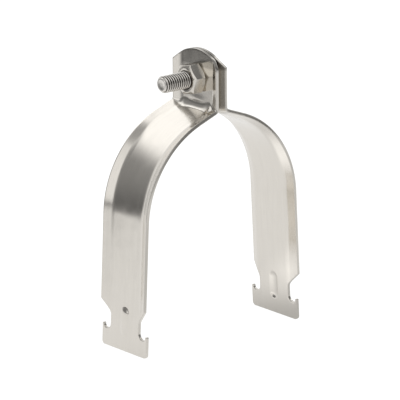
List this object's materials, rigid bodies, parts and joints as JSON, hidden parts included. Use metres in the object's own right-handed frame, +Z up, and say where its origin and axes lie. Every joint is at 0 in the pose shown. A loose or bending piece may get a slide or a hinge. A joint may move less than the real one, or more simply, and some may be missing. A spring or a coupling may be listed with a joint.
{
  "type": "strut pipe clamp",
  "caption": "Two-piece pressed sheet clamp that holds a round pipe across a strut channel, drawn together by a hexagon bolt and nut through its ears.",
  "frame": {"origin": "on the axis of the clamped pipe, halfway across the strap's width", "axes": "+X along the bolt towards its head, +Y along the pipe, +Z up from the strut channel towards the ears"},
  "size_m": [0.0922, 0.0318, 0.1333],
  "materials": {
    "strap_steel": "bright rolled and lightly polished stainless steel",
    "bolt_steel": "bright stainless steel with a rolled thread",
    "nut_steel": "bright turned stainless steel"
  },
  "bodies": {
    "head_side_half": {"head_side_half": "strap_steel"},
    "bolt": {"bolt": "bolt_steel"},
    "nut_side_half": {"nut_side_half": "strap_steel"},
    "hex_nut": {"hex_nut": "nut_steel"}
  },
  "joints": [
    {"name": "half_swing", "type": "hinge", "parent": "head_side_half", "child": "bolt", "pos_m": [0, 0, 0.0606], "axis": [1, 0, 0], "continuous": true},
    {"name": "half_slide", "type": "slide", "parent": "bolt", "child": "nut_side_half", "axis": [-1, 0, 0], "range_m": [0, 0.012]},
    {"name": "nut_turn", "type": "hinge", "parent": "nut_side_half", "child": "hex_nut", "pos_m": [-0.0051, 0, 0.0606], "axis": [-1, 0, 0], "range_deg": [0, 3460]}
  ],
  "couplings": [
    {"joint": "nut_turn", "follows": "half_slide", "rad_per_m": 5026.5}
  ]
}
